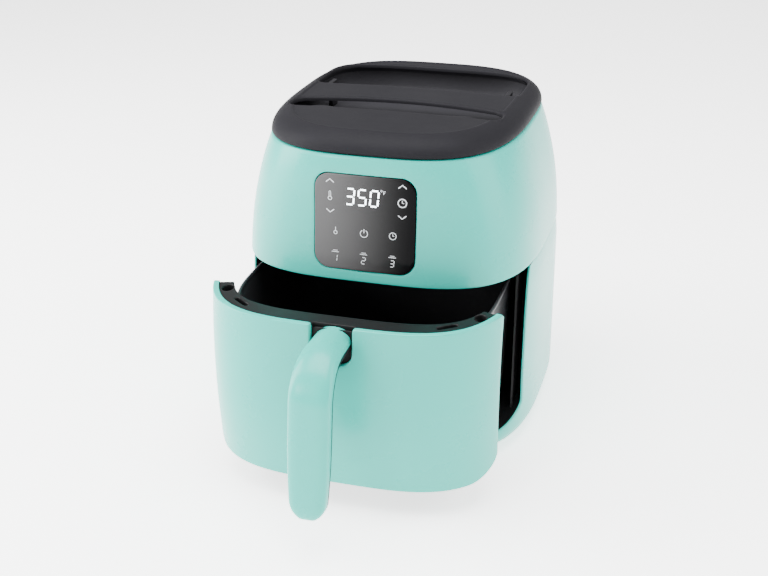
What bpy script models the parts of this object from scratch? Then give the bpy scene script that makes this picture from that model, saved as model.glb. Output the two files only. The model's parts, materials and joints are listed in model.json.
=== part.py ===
"""Basket air fryer: a two-shell housing with a pull-out drawer, built as separate parts.

Units are metres, +Z is up, the drawer opens towards -Y and the control lens faces -Y.
The rest position has the drawer pulled out by DRAWER_OUT.
"""
import math

import bmesh
import bpy
from mathutils import Matrix, Vector

# ---------------------------------------------------------------- driving dimensions
GAP = 0.0004                # clearance between touching parts
CENTRE_Y = 0.0934           # plan axis of the housing in the part's frame
WIDEST_Y = -0.0077          # widest section, measured from the plan axis
SHELL_WALL = 0.0024
FOOT_HEIGHT = 0.0036
BASE_ROUND = 0.014          # radius of the housing's bottom edge
BELT_Z = 0.1442             # joint between base shell and upper shell
SEAM_Z = 0.2337             # joint between upper shell and top cover
DECK_Z = 0.2484             # top of the top cover
DRAWER_OUT = 0.0722         # how far the drawer is out at rest
OPENING_HALF = 0.1048
OPENING_BOTTOM = 0.0208
OPENING_CORNER = 0.016
PANEL_HALF = 0.1033
PANEL_TOP = BELT_Z - 0.0008
PANEL_BOTTOM = OPENING_BOTTOM + 0.0016
NOTCH_HALF = 0.0144
NOTCH_DEPTH = 0.0265
NOTCH_CORNER = 0.0090
LENS_HALF_WIDTH = 0.0363
LENS_BOTTOM = 0.1529
LENS_TOP = 0.2207
LENS_CORNER = 0.0110
RING_POINTS = 56
SLOT_HALF = 0.0745          # finger slot and pocket in the top cover
BAR_FRONT = -0.0455         # carry bar's edges at its middle, from the plan axis
BAR_BACK = -0.0075
FAN_Y = CENTRE_Y - 0.022    # axis of the fan, heater and motor
CHAMBER_Z = 0.1500          # underside of the chamber ceiling
BUCKET_HALF = 0.0925
BUCKET_FLOOR_Z = 0.0340
BUCKET_RIM_Z = 0.1335
TRAY_Z = 0.0490
LINER_HALF = 0.0985
LINER_WALL = 0.0014
HANDLE_HALF = 0.0142
HANDLE_RISE = 0.0072        # height of each handle half over its parting line
BRACKET_FRONT = CENTRE_Y - 0.1416
BRACKET_BACK = CENTRE_Y - 0.1322
LEVER_Y = CENTRE_Y + 0.0508 # pivot of the drawer switch's lever
LEVER_Z = 0.1450

# housing sections: height, half width, front depth, rear depth, front power, rear power
STATIONS = (
    (0.0036, 0.1116, 0.1420, 0.0840, 3.45, 3.1),
    (0.0755, 0.1110, 0.1524, 0.0880, 3.55, 3.1),
    (0.1442, 0.1097, 0.1496, 0.0893, 3.60, 3.1),
    (0.1889, 0.1050, 0.1462, 0.0886, 3.50, 3.1),
    (0.2337, 0.0922, 0.1440, 0.0860, 3.20, 3.0),
    (0.2484, 0.0822, 0.1350, 0.0760, 3.00, 2.9),
)

AQUA = (0.42, 0.76, 0.70)
SLATE = (0.065, 0.065, 0.075)
BLACK = (0.012, 0.012, 0.012)
STEEL = (0.62, 0.62, 0.60)
GREEN = (0.03, 0.16, 0.07)


# ---------------------------------------------------------------- shape helpers
def clear_scene():
    for item in list(bpy.data.objects):
        bpy.data.objects.remove(item, do_unlink=True)


def finish(colour, roughness, metallic=0.0):
    return (colour, roughness, metallic)


def paint(item, look):
    colour, roughness, metallic = look
    material = bpy.data.materials.new(item.name)
    material.use_nodes = True
    shader = material.node_tree.nodes["Principled BSDF"]
    shader.inputs["Base Color"].default_value = (*colour, 1.0)
    shader.inputs["Roughness"].default_value = roughness
    shader.inputs["Metallic"].default_value = metallic
    item.data.materials.append(material)


def make_object(name, verts, faces, look, origin=(0, 0, 0), smooth=True):
    """A mesh object with its origin on the given point; verts are world positions."""
    mesh = bpy.data.meshes.new(name)
    base = Vector(origin)
    mesh.from_pydata([Vector(v) - base for v in verts], [], faces)
    shape = bmesh.new()
    shape.from_mesh(mesh)
    bmesh.ops.recalc_face_normals(shape, faces=shape.faces)
    shape.to_mesh(mesh)
    shape.free()
    item = bpy.data.objects.new(name, mesh)
    item.location = base
    bpy.context.scene.collection.objects.link(item)
    if smooth:
        mesh.shade_smooth()
        mesh.set_sharp_from_angle(angle=math.radians(35))
    if look is not None:
        paint(item, look)
    return item


def loft(rings, closed=False):
    """Joins equal rings of points; the ends are capped unless the rings close on themselves."""
    count = len(rings[0])
    verts = [p for ring in rings for p in ring]
    faces = []
    for a in range(len(rings) - (0 if closed else 1)):
        b = (a + 1) % len(rings)
        for i in range(count):
            j = (i + 1) % count
            faces.append((a * count + i, a * count + j, b * count + j, b * count + i))
    if not closed:
        faces.append(tuple(range(count - 1, -1, -1)))
        faces.append(tuple((len(rings) - 1) * count + i for i in range(count)))
    return verts, faces


def station(z):
    """Section values at height z, as a smooth cubic through STATIONS."""
    rows = STATIONS
    z = min(max(z, rows[0][0]), rows[-1][0])
    k = max(i for i in range(len(rows) - 1) if rows[i][0] <= z)
    before = rows[max(k - 1, 0)]
    low, high = rows[k], rows[k + 1]
    after = rows[min(k + 2, len(rows) - 1)]
    span = high[0] - low[0]
    t = (z - low[0]) / span
    values = []
    for c in range(1, 6):
        slope_low = (high[c] - before[c]) / (high[0] - before[0]) * span
        slope_high = (after[c] - low[c]) / (after[0] - low[0]) * span
        values.append(
            (2 * t ** 3 - 3 * t ** 2 + 1) * low[c]
            + (t ** 3 - 2 * t ** 2 + t) * slope_low
            + (3 * t ** 2 - 2 * t ** 3) * high[c]
            + (t ** 3 - t ** 2) * slope_high
        )
    return values


def signed_power(value, power):
    return math.copysign(abs(value) ** power, value)


def squircle(half, front, rear, middle, front_power, rear_power, z, count=RING_POINTS):
    """Ring at height z; front and rear are depths from the plan axis, middle is the widest y."""
    ring = []
    for i in range(count):
        angle = 2 * math.pi * i / count
        across, along = math.cos(angle), math.sin(angle)
        power = 2 / (rear_power if along > 0 else front_power)
        reach = rear - middle if along > 0 else front + middle
        x = half * signed_power(across, power)
        y = middle + reach * signed_power(along, power)
        ring.append((x, CENTRE_Y + y, z))
    return ring


def housing_ring(z, inset=0.0, height=None, count=RING_POINTS):
    """The housing's outline at height z, moved inwards by inset."""
    half, front, rear, front_power, rear_power = station(z)
    place = z if height is None else height
    depths = (half - inset, front - inset, rear - inset)
    return squircle(*depths, WIDEST_Y, front_power, rear_power, place, count)


def front_y(x, z, inset=0.0):
    """The y of the housing's front surface at x and z."""
    half, front, rear, power, rear_power = station(z)
    share = min(abs(x) / (half - inset), 0.9999)
    return CENTRE_Y + WIDEST_Y - (front - inset + WIDEST_Y) * (1 - share ** power) ** (1 / power)


def rear_y(x, z, inset=0.0):
    """The y of the housing's rear surface at x and z."""
    half, front, rear, front_power, power = station(z)
    share = min(abs(x) / (half - inset), 0.9999)
    return CENTRE_Y + WIDEST_Y + (rear - inset - WIDEST_Y) * (1 - share ** power) ** (1 / power)


def box(name, low, high, look, origin=(0, 0, 0)):
    outline = ((low[0], low[1]), (high[0], low[1]), (high[0], high[1]), (low[0], high[1]))
    verts, faces = loft([[(x, y, z) for x, y in outline] for z in (low[2], high[2])])
    return make_object(name, verts, faces, look, origin, smooth=False)


def circle(radius, z, centre=(0, 0), count=24):
    points = []
    for i in range(count):
        angle = 2 * math.pi * i / count
        points.append((centre[0] + radius * math.cos(angle), centre[1] + radius * math.sin(angle), z))
    return points


def turned(name, profile, look, centre=(0, 0), count=24, closed=False):
    """A turned part: profile is (radius, z) pairs; closed=True makes it a hollow ring."""
    rings = [circle(radius, z, centre, count) for radius, z in profile]
    verts, faces = loft(rings, closed)
    return make_object(name, verts, faces, look, (centre[0], centre[1], profile[0][1]))


def tube_profile(inner, outer, low, high):
    return ((inner, low), (outer, low), (outer, high), (inner, high))


def rounded_outline(half_x, low, high, radius, steps=5):
    """Corner-rounded rectangle as (across, up) pairs."""
    points = []
    corners = ((half_x, low, -90), (half_x, high, 0), (-half_x, high, 90), (-half_x, low, 180))
    for x, z, start in corners:
        cx = math.copysign(abs(x) - radius, x)
        cz = z + radius if z == low else z - radius
        for i in range(steps + 1):
            angle = math.radians(start + 90 * i / steps)
            points.append((cx + radius * math.cos(angle), cz + radius * math.sin(angle)))
    return points


def prism_y(name, outline, y_low, y_high, look=None):
    """Extrudes an (x, z) outline along y."""
    rings = [[(x, y, z) for x, z in outline] for y in (y_low, y_high)]
    verts, faces = loft(rings)
    return make_object(name, verts, faces, look, smooth=False)


def prism_z(name, outline, z_low, z_high, look=None):
    rings = [[(x, y, z) for x, y in outline] for z in (z_low, z_high)]
    verts, faces = loft(rings)
    return make_object(name, verts, faces, look, smooth=False)


def boolean(item, other, operation="DIFFERENCE"):
    """Applies an exact boolean at once and removes the other object."""
    modifier = item.modifiers.new("boolean", "BOOLEAN")
    modifier.operation = operation
    modifier.solver = "EXACT"
    modifier.object = other
    depsgraph = bpy.context.evaluated_depsgraph_get()
    depsgraph.update()
    result = bpy.data.meshes.new_from_object(item.evaluated_get(depsgraph))
    item.modifiers.clear()
    item.data = result
    bpy.data.objects.remove(other, do_unlink=True)
    return item


def cut(item, *cutters):
    for cutter in cutters:
        boolean(item, cutter)
    return item


def join(item, *others):
    for other in others:
        boolean(item, other, "UNION")
    return item


def panel_skin(name, outset, thickness, half, low, high, look, corner, steps=20, round_top=False,
               surface=front_y):
    """Curved plate that follows the housing's front or rear surface between low and high."""
    rings = []
    for k in range(7):
        z = high - (high - low) * k / 6
        xs = [half * math.sin(math.pi / 2 * (2 * i / steps - 1)) for i in range(steps + 1)]
        near = [(x, surface(x, z, outset), z) for x in xs]
        far = [(x, surface(x, z, outset + thickness), z) for x in reversed(xs)]
        rings.append(near + far)
    verts, faces = loft(rings)
    plate = make_object(name, verts, faces, look)
    spare = 0.0 if round_top else 0.05
    outline = rounded_outline(half - 0.00005, low + 0.00005, high + spare - 0.00005, corner)
    keep = prism_y("keep_cutter", outline, CENTRE_Y - 0.3, CENTRE_Y + 0.2)
    return boolean(plate, keep, "INTERSECT")


# ---------------------------------------------------------------- housing
def base_shell():
    """Lower shell: rounded bottom edge, inward floor flange and a U-shaped drawer opening."""
    bottom = FOOT_HEIGHT
    outer = [housing_ring(z) for z in (BELT_Z - GAP, 0.125, 0.100, 0.070, 0.040, bottom + BASE_ROUND)]
    for step in (1, 2, 3):
        angle = math.radians(30 * step)
        z = bottom + BASE_ROUND * (1 - math.sin(angle))
        outer.append(housing_ring(bottom + BASE_ROUND, BASE_ROUND * (1 - math.cos(angle)), z))
    flange = [
        housing_ring(bottom + BASE_ROUND, BASE_ROUND + 0.006, bottom),
        housing_ring(bottom + BASE_ROUND, BASE_ROUND + 0.006, bottom + SHELL_WALL),
        housing_ring(bottom + BASE_ROUND, BASE_ROUND - 0.001, bottom + SHELL_WALL),
    ]
    heights = (bottom + BASE_ROUND, 0.040, 0.070, 0.100, 0.125, BELT_Z - GAP)
    inner = [housing_ring(z, SHELL_WALL) for z in heights]
    verts, faces = loft(outer + flange + inner, closed=True)
    shell = make_object("base_shell", verts, faces, finish(AQUA, 0.35))
    outline = rounded_outline(OPENING_HALF, OPENING_BOTTOM, BELT_Z + 0.03, OPENING_CORNER)
    return cut(shell, prism_y("opening_cutter", outline, CENTRE_Y - 0.2, CENTRE_Y - 0.05))


def upper_shell():
    """Upper shell: leans in towards the top, with a window for the control lens."""
    levels = (BELT_Z, 0.158, 0.172, 0.186, 0.200, 0.213, SEAM_Z)
    outer = [housing_ring(z) for z in levels]
    inner = [housing_ring(z, SHELL_WALL) for z in reversed(levels)]
    verts, faces = loft(outer + inner, closed=True)
    shell = make_object("upper_shell", verts, faces, finish(AQUA, 0.35))
    outline = lens_outline(GAP)
    return cut(shell, prism_y("lens_cutter", outline, CENTRE_Y - 0.2, CENTRE_Y - 0.08))


def lens_outline(grow=0.0):
    return rounded_outline(LENS_HALF_WIDTH + grow, LENS_BOTTOM - grow, LENS_TOP + grow, LENS_CORNER, 4)


def control_lens():
    """Glossy touch lens that follows the housing's front, a little proud of it."""
    return panel_skin("control_lens", -0.0006, SHELL_WALL, LENS_HALF_WIDTH, LENS_BOTTOM, LENS_TOP,
                      finish((0.02, 0.02, 0.022), 0.08), LENS_CORNER, steps=10, round_top=True)


def display_board():
    """Circuit board behind the lens, leaning back with it."""
    half, clear = 0.030, 0.0075
    rings = []
    for depth in (clear, clear + 0.0016):
        low_y = front_y(0, LENS_BOTTOM) + depth
        high_y = front_y(0, LENS_TOP) + depth
        ring = [(-half, low_y, LENS_BOTTOM + 0.003), (half, low_y, LENS_BOTTOM + 0.003)]
        ring += [(half, high_y, LENS_TOP - 0.003), (-half, high_y, LENS_TOP - 0.003)]
        rings.append(ring)
    verts, faces = loft(rings)
    return make_object("display_board", verts, faces, finish(GREEN, 0.5), smooth=False)


def digit_module():
    """Four-digit light module between the board and the lens."""
    z_low, z_high = 0.194, 0.209
    rings = []
    for depth in (0.0034, 0.0066):
        corners = ((-0.018, z_low), (0.018, z_low), (0.018, z_high), (-0.018, z_high))
        rings.append([(x, front_y(0, z) + depth, z) for x, z in corners])
    verts, faces = loft(rings)
    return make_object("digit_module", verts, faces, finish((0.7, 0.7, 0.72), 0.4), smooth=False)


def top_cover():
    """Top cover: rounded rim, flat deck, and a carry bar between a front slot and a rear pocket."""
    rise = DECK_Z - SEAM_Z
    inner = [housing_ring(SEAM_Z, inset, z) for z, inset in (
        (DECK_Z - 0.0032, 0.0145), (DECK_Z - 0.0046, 0.0080), (SEAM_Z + GAP, SHELL_WALL + GAP))]
    outer = [housing_ring(SEAM_Z, inset, z) for z, inset in (
        (SEAM_Z + GAP, -0.0004), (SEAM_Z + 0.35 * rise, -0.0004), (SEAM_Z + 0.65 * rise, 0.0012),
        (SEAM_Z + 0.86 * rise, 0.0042), (DECK_Z - 0.0004, 0.0092), (DECK_Z, 0.0128))]
    verts, faces = loft(inner + outer)
    cover = make_object("top_cover", verts, faces, finish(SLATE, 0.55))
    return cut(cover, slot_cutter(), pocket_cutter())


def bar_edge(x, middle, end, reach):
    """Edge line across the deck that bends from its middle value to its end value at |x| = reach."""
    share = min(abs(x) / reach, 1.0)
    return CENTRE_Y + middle + (end - middle) * share ** 2


def slot_cutter():
    """Finger slot in front of the bar."""
    xs = [SLOT_HALF * (i / 6 - 1) for i in range(13)]
    front = [(x, bar_edge(x, -0.0720, -0.0790, SLOT_HALF)) for x in xs]
    back = [(x, bar_edge(x, BAR_FRONT, -0.0590, SLOT_HALF)) for x in reversed(xs)]
    return prism_z("slot_cutter", front + back, DECK_Z - 0.02, DECK_Z + 0.01)


def pocket_cutter():
    """Open pocket behind the bar, following the rear outline."""
    half, rear, turn_y = 0.0770, 0.0580, 0.005
    xs = [half * (i / 6 - 1) for i in range(13)]
    front = [(x, bar_edge(x, BAR_BACK, -0.0130, half)) for x in xs]
    back = []
    for i in range(13):
        angle = math.pi * i / 12
        x = half * signed_power(math.cos(angle), 2 / 3.6)
        back.append((x, CENTRE_Y + turn_y + (rear - turn_y) * signed_power(math.sin(angle), 2 / 3.6)))
    return prism_z("pocket_cutter", front + back, DECK_Z - 0.02, DECK_Z + 0.01)


def recess_tray():
    """Tray under the bar that closes the slot and the pocket and holds the fingers."""
    outside = ((0.0240, 0.010), (0.0220, 0.006), (0.0050, 0.0))
    inside = ((0.0050, 0.002), (0.0204, 0.008), (0.0220, 0.011))
    outer = [tray_ring(inset, DECK_Z - depth) for depth, inset in outside]
    inner = [tray_ring(inset, DECK_Z - depth) for depth, inset in inside]
    verts, faces = loft(outer + inner)
    return make_object("recess_tray", verts, faces, finish(SLATE, 0.6))


def tray_ring(inset, z):
    return squircle(0.0820 - inset, 0.0960 - inset, 0.0620 - inset, -0.010, 5.0, 4.0, z, 40)


def chamber_deck():
    """Ceiling of the cooking chamber, with the round opening for the heater dish."""
    outline = housing_ring(BELT_Z, SHELL_WALL + 0.003, CHAMBER_Z)
    rings = [outline, [(x, y, CHAMBER_Z + 0.0012) for x, y, z in outline]]
    verts, faces = loft(rings)
    deck = make_object("chamber_deck", verts, faces, finish(STEEL, 0.4, 1.0))
    hole = turned("deck_cutter", ((0.060, CHAMBER_Z - 0.01), (0.060, CHAMBER_Z + 0.01)), None, (0, FAN_Y), 32)
    return cut(deck, hole)


def cavity_liner():
    """Dark liner around the drawer: floor, sides and back, open to the front and the top."""
    def tub(grow, low, high):
        front = CENTRE_Y - 0.0900
        back = CENTRE_Y + 0.0620 + grow
        half = LINER_HALF + grow
        radius = 0.030 + grow
        points = [(-half, front), (half, front)]
        for start, cx in ((0, half - radius), (90, radius - half)):
            for i in range(6):
                angle = math.radians(start + 18 * i)
                points.append((cx + radius * math.cos(angle), back - radius + radius * math.sin(angle)))
        return [[(x, y, z) for x, y in points] for z in (low, high)]
    low = OPENING_BOTTOM + 0.0012
    verts, faces = loft(tub(0.0, low, CHAMBER_Z - GAP))
    liner = make_object("cavity_liner", verts, faces, finish(BLACK, 0.5))
    verts, faces = loft(tub(-LINER_WALL, low + LINER_WALL, CHAMBER_Z + 0.02))
    reaching = [(x, y - (0.05 if y < CENTRE_Y - 0.08 else 0), z) for x, y, z in verts]
    hollow = make_object("liner_cutter", reaching, faces, None)
    return cut(liner, hollow)


def base_plate():
    """Underside plate inside the base shell's flange."""
    outline = housing_ring(FOOT_HEIGHT + BASE_ROUND, BASE_ROUND + 0.0063, FOOT_HEIGHT)
    rings = [outline, [(x, y, FOOT_HEIGHT + 0.0020) for x, y, z in outline]]
    verts, faces = loft(rings)
    return make_object("base_plate", verts, faces, finish(SLATE, 0.6))


def feet():
    for index, (x, y) in enumerate(((-0.066, -0.086), (0.066, -0.086), (-0.066, 0.046), (0.066, 0.046)), 1):
        profile = ((0.0065, 0.0), (0.0085, 0.0008), (0.0095, FOOT_HEIGHT - GAP))
        turned(f"foot_{index}", profile, finish(BLACK, 0.8), (x, CENTRE_Y + y), 16)


def base_screws():
    for index, (x, y) in enumerate(((-0.045, -0.1), (0.045, -0.1), (-0.045, 0.058), (0.045, 0.058)), 1):
        profile = ((0.0030, FOOT_HEIGHT - 0.0016), (0.0030, FOOT_HEIGHT - GAP))
        turned(f"base_screw_{index}", profile, finish(STEEL, 0.35, 1.0), (x, CENTRE_Y + y), 10)


def rear_grille():
    """Exhaust louvre plate that follows the back of the upper shell."""
    half, low, high = 0.034, 0.165, 0.205
    plate = panel_skin("rear_grille", -0.0032, 0.0028, half, low, high, finish(SLATE, 0.6), 0.006,
                       steps=8, round_top=True, surface=rear_y)
    for i in range(5):
        z = low + 0.006 + 0.007 * i
        slot = rounded_outline(half - 0.007, z, z + 0.0034, 0.0015, 2)
        cut(plate, prism_y("louvre_cutter", slot, CENTRE_Y + 0.05, CENTRE_Y + 0.12))
    return plate


def cord_inlet():
    """Collar on the lower back where the supply cord enters."""
    rings = []
    for depth, radius in ((GAP, 0.0085), (0.003, 0.0085), (0.006, 0.0065), (0.006, 0.0034), (GAP, 0.0034)):
        ring = []
        for i in range(16):
            angle = 2 * math.pi * i / 16
            x = 0.055 + radius * math.cos(angle)
            z = 0.040 + radius * math.sin(angle)
            ring.append((x, rear_y(x, z) + depth, z))
        rings.append(ring)
    verts, faces = loft(rings, closed=True)
    return make_object("cord_inlet", verts, faces, finish(BLACK, 0.6))


# ---------------------------------------------------------------- heater, fan and electronics
def heater_dish():
    """Inverted dish that reflects the heat down into the drawer."""
    profile = (
        (0.0640, CHAMBER_Z + 0.0016), (0.0640, CHAMBER_Z + 0.0026), (0.0590, CHAMBER_Z + 0.0026),
        (0.0560, CHAMBER_Z + 0.0260), (0.0045, CHAMBER_Z + 0.0260), (0.0045, CHAMBER_Z + 0.0250),
        (0.0550, CHAMBER_Z + 0.0250), (0.0580, CHAMBER_Z + 0.0016),
    )
    return turned("heater_dish", profile, finish(STEEL, 0.3, 1.0), (0, FAN_Y), 32, closed=True)


def heating_coil():
    """Spiral tube heater that hangs under the fan."""
    curve = bpy.data.curves.new("heating_coil", "CURVE")
    curve.dimensions = "3D"
    curve.bevel_depth = 0.0028
    curve.bevel_resolution = 1
    curve.use_fill_caps = True
    curve.resolution_u = 1
    curve.render_resolution_u = 0
    count = 46
    line = curve.splines.new("POLY")
    line.points.add(count - 1)
    for i in range(count):
        share = i / (count - 1)
        angle = 2 * math.pi * 2.2 * share
        radius = 0.0290 + 0.0200 * share
        place = (radius * math.cos(angle), radius * math.sin(angle), 0.0)
        line.points[i].co = (*place, 1.0)
    item = bpy.data.objects.new("heating_coil", curve)
    item.location = (0, FAN_Y, CHAMBER_Z + 0.0060)
    bpy.context.scene.collection.objects.link(item)
    material = bpy.data.materials.new("heating_coil")
    material.use_nodes = True
    material.node_tree.nodes["Principled BSDF"].inputs["Roughness"].default_value = 0.45
    curve.materials.append(material)
    return item


def fan_wheel(name, low, high, hub, tip, blades, bore):
    """Hub with pitched radial blades, joined into one body."""
    sleeve = tube_profile(bore, hub, low, high)
    wheel = turned(name, sleeve, finish(STEEL, 0.35, 1.0), (0, FAN_Y), 16, closed=True)
    for i in range(blades):
        turn = Matrix.Rotation(2 * math.pi * i / blades, 3, "Z")
        middle = (low + high) / 2
        lift = (high - low) / 2 - 0.0006
        section = ((-0.0030, -lift), (-0.0018, -lift), (0.0030, lift), (0.0018, lift))
        rings = []
        for reach in (hub - 0.0014, tip):
            ring = [turn @ Vector((reach, side, rise)) + Vector((0, FAN_Y, middle)) for side, rise in section]
            rings.append(ring)
        verts, faces = loft(rings)
        join(wheel, make_object("blade", verts, faces, None, smooth=False))
    return wheel


def motor_parts():
    """Motor with its plate, and the rotor that carries both fans."""
    top = CHAMBER_Z + 0.0260
    turned("motor_plate", tube_profile(0.0060, 0.0300, top + GAP, top + 0.0022), finish(STEEL, 0.4, 1.0),
           (0, FAN_Y), 24, closed=True)
    low = top + 0.0022 + GAP
    turned("fan_motor", ((0.0040, low), (0.0170, low), (0.0215, low + 0.003), (0.0215, low + 0.017),
                         (0.0150, low + 0.020), (0.0040, low + 0.020)), finish((0.35, 0.35, 0.36), 0.4, 1.0),
           (0, FAN_Y), 24, closed=True)
    shaft = ((0.0030, CHAMBER_Z + 0.0125), (0.0030, low + 0.0282))
    turned("motor_shaft", shaft, finish(STEEL, 0.2, 1.0), (0, FAN_Y), 12)
    fan_wheel("hot_air_fan", CHAMBER_Z + 0.0130, CHAMBER_Z + 0.0215, 0.0075, 0.0460, 6, 0.0033)
    fan_wheel("cooling_fan", low + 0.0212, low + 0.0278, 0.0080, 0.0280, 5, 0.0033)


def heater_guard():
    """Slotted guard plate across the bottom of the dish."""
    low, high = CHAMBER_Z - 0.0020, CHAMBER_Z - GAP
    guard = turned("heater_guard", ((0.0635, low), (0.0635, high)), finish(STEEL, 0.35, 1.0), (0, FAN_Y), 32)
    for inner, outer in ((0.010, 0.021), (0.024, 0.038), (0.041, 0.056)):
        for i in range(4):
            start = math.radians(90 * i + 6)
            end = math.radians(90 * i + 84)
            angles = [start + (end - start) * k / 6 for k in range(7)]
            ring = [(outer * math.cos(a), FAN_Y + outer * math.sin(a)) for a in angles]
            ring += [(inner * math.cos(a), FAN_Y + inner * math.sin(a)) for a in reversed(angles)]
            cut(guard, prism_z("guard_cutter", ring, low - 0.01, high + 0.01))
    return guard


def electronics():
    """Boards and parts in the space behind the motor."""
    y = CENTRE_Y + 0.0560
    box("power_board", (-0.044, y, 0.1560), (0.044, y + 0.0016, 0.1980), finish(GREEN, 0.5))
    box("transformer", (-0.038, y - 0.0184, 0.1600), (-0.014, y - GAP, 0.1820), finish((0.75, 0.62, 0.10), 0.5))
    box("relay", (0.018, y - 0.0154, 0.1600), (0.037, y - GAP, 0.1760), finish(BLACK, 0.4))
    turned("filter_capacitor", ((0.0055, 0.1840), (0.0055, 0.1960)), finish((0.1, 0.12, 0.3), 0.4),
           (0.020, y - 0.0062), 12)
    top = CHAMBER_Z + 0.0260 + GAP
    turned("thermal_cutoff", ((0.0065, top), (0.0065, top + 0.0060)), finish(STEEL, 0.4, 1.0),
           (0.040, FAN_Y + 0.016), 14)


# ---------------------------------------------------------------- drawer switch
def drawer_switch():
    """Safety switch on the chamber ceiling at the back, with a sprung lever."""
    back = CENTRE_Y + 0.0536
    top = CHAMBER_Z - GAP
    look = finish(BLACK, 0.5)
    body = box("drawer_switch", (-0.0095, back, 0.1380), (0.0095, back + 0.0065, top), look)
    for side in (-1, 1):
        low_x, high_x = sorted((side * 0.0068, side * 0.0085))
        join(body, box("ear", (low_x, LEVER_Y - 0.0022, 0.1410), (high_x, back + 0.001, top), None))
    width = 0.0060
    lever = box("switch_lever", (-width, LEVER_Y - 0.0005, 0.1250), (width, LEVER_Y + 0.0005, LEVER_Z), look,
                (0, LEVER_Y, LEVER_Z))
    pin = [[(x, LEVER_Y + 0.0013 * math.cos(a), LEVER_Z + 0.0013 * math.sin(a))
            for a in (2 * math.pi * i / 12 for i in range(12))] for x in (-0.0065, 0.0065)]
    verts, faces = loft(pin)
    return join(lever, make_object("pin", verts, faces, None))


def floor_runners():
    """Strips on the liner's floor that carry the bucket."""
    low = OPENING_BOTTOM + 0.0012 + LINER_WALL + GAP
    for name, x in (("runner_left", -0.052), ("runner_right", 0.052)):
        box(name, (x - 0.004, CENTRE_Y - 0.085, low), (x + 0.004, CENTRE_Y + 0.045, BUCKET_FLOOR_Z - GAP),
            finish(SLATE, 0.4))


# ---------------------------------------------------------------- drawer (built closed, then moved out)
def notch_outline(grow):
    low = PANEL_TOP - NOTCH_DEPTH - grow
    return rounded_outline(NOTCH_HALF + grow, low, PANEL_TOP + 0.02, NOTCH_CORNER, 3)


def drawer_front():
    """Outer front panel with the notch for the handle."""
    panel = panel_skin("drawer_front", 0.0, 0.0026, PANEL_HALF, PANEL_BOTTOM, PANEL_TOP, finish(AQUA, 0.35),
                       OPENING_CORNER)
    return cut(panel, prism_y("notch_cutter", notch_outline(0.0), CENTRE_Y - 0.2, CENTRE_Y - 0.08))


def drawer_backing():
    """Dark inner panel right behind the front panel."""
    backing = panel_skin("drawer_backing", 0.0026 + 0.0010, 0.0018, PANEL_HALF - 0.003, PANEL_BOTTOM + 0.004,
                         PANEL_TOP - 0.0092, finish(BLACK, 0.5), OPENING_CORNER)
    return cut(backing, prism_y("notch_cutter", notch_outline(0.0004), CENTRE_Y - 0.2, CENTRE_Y - 0.08))


def bucket_ring(inset, z, count=48):
    return squircle(BUCKET_HALF - inset, 0.1280 - inset, 0.0500 - inset, -0.036, 3.8, 4.2, z, count)


def drawer_frame():
    """Dark crescent that fills the top between the front panel and the bucket."""
    top, low, depth = PANEL_TOP - 0.0014, PANEL_TOP - 0.0086, 0.0026 + GAP
    half = PANEL_HALF - 0.0060
    xs = [half * math.sin(math.pi / 2 * (2 * i / 20 - 1)) for i in range(21)]
    front = [(x, front_y(x, top, depth + 0.0004)) for x in xs]
    outline = front + [(half, CENTRE_Y - 0.0935), (-half, CENTRE_Y - 0.0935)]
    frame = prism_z("drawer_frame", outline, low, top, finish(BLACK, 0.45))
    rings = [bucket_ring(-0.0006, z) for z in (low - 0.01, top + 0.01)]
    verts, faces = loft(rings)
    cut(frame, make_object("frame_cutter", verts, faces, None))
    for side in (-1, 1):
        hole = []
        for i in range(12):
            angle = 2 * math.pi * i / 12
            hole.append((side * 0.0905 + 0.0032 * math.cos(angle), CENTRE_Y - 0.1075 + 0.0050 * math.sin(angle)))
        cut(frame, prism_z("hole_cutter", hole, low - 0.01, top + 0.01))
    outline = rounded_outline(HANDLE_HALF - 0.0005, PANEL_TOP - NOTCH_DEPTH, PANEL_TOP + 0.02, 0.003, 2)
    return cut(frame, prism_y("arm_cutter", outline, CENTRE_Y - 0.2, BRACKET_BACK + GAP))


def bucket():
    """Non-stick bucket with a rolled rim."""
    outer = [bucket_ring(inset, z) for inset, z in (
        (0.0120, BUCKET_FLOOR_Z), (0.0070, BUCKET_FLOOR_Z + 0.0016), (0.0040, BUCKET_FLOOR_Z + 0.0060),
        (0.0000, BUCKET_RIM_Z))]
    inner = [bucket_ring(inset, z) for inset, z in (
        (0.0022, BUCKET_RIM_Z), (0.0062, BUCKET_FLOOR_Z + 0.0070), (0.0094, BUCKET_FLOOR_Z + 0.0034),
        (0.0136, BUCKET_FLOOR_Z + 0.0020))]
    verts, faces = loft(outer + inner)
    return make_object("bucket", verts, faces, finish(BLACK, 0.4))


def crisper_tray():
    """Perforated plate that lifts out of the bucket."""
    rings = [bucket_ring(0.0092, TRAY_Z, 40), bucket_ring(0.0092, TRAY_Z + 0.0014, 40)]
    verts, faces = loft(rings)
    tray = make_object("crisper_tray", verts, faces, finish(BLACK, 0.4), (0, CENTRE_Y - 0.036, TRAY_Z))
    for row in range(5):
        for column in range(5):
            x = 0.026 * (column - 2)
            y = CENTRE_Y - 0.036 + 0.028 * (row - 2)
            hole = [(x + 0.0055 * math.cos(a), y + 0.0055 * math.sin(a)) for a in
                    (2 * math.pi * (i + 0.5) / 8 for i in range(8))]
            cut(tray, prism_z("tray_cutter", hole, TRAY_Z - 0.01, TRAY_Z + 0.01))
    return tray


def tray_feet():
    """Soft bumpers that hold the tray off the bucket's floor."""
    for index, (x, y) in enumerate(((-0.052, -0.091), (0.052, -0.091), (-0.052, 0.006), (0.052, 0.006)), 1):
        profile = ((0.0030, BUCKET_FLOOR_Z + 0.0030), (0.0042, TRAY_Z - GAP))
        turned(f"tray_foot_{index}", profile, finish((0.05, 0.05, 0.05), 0.8), (x, CENTRE_Y + y), 12)


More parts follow.
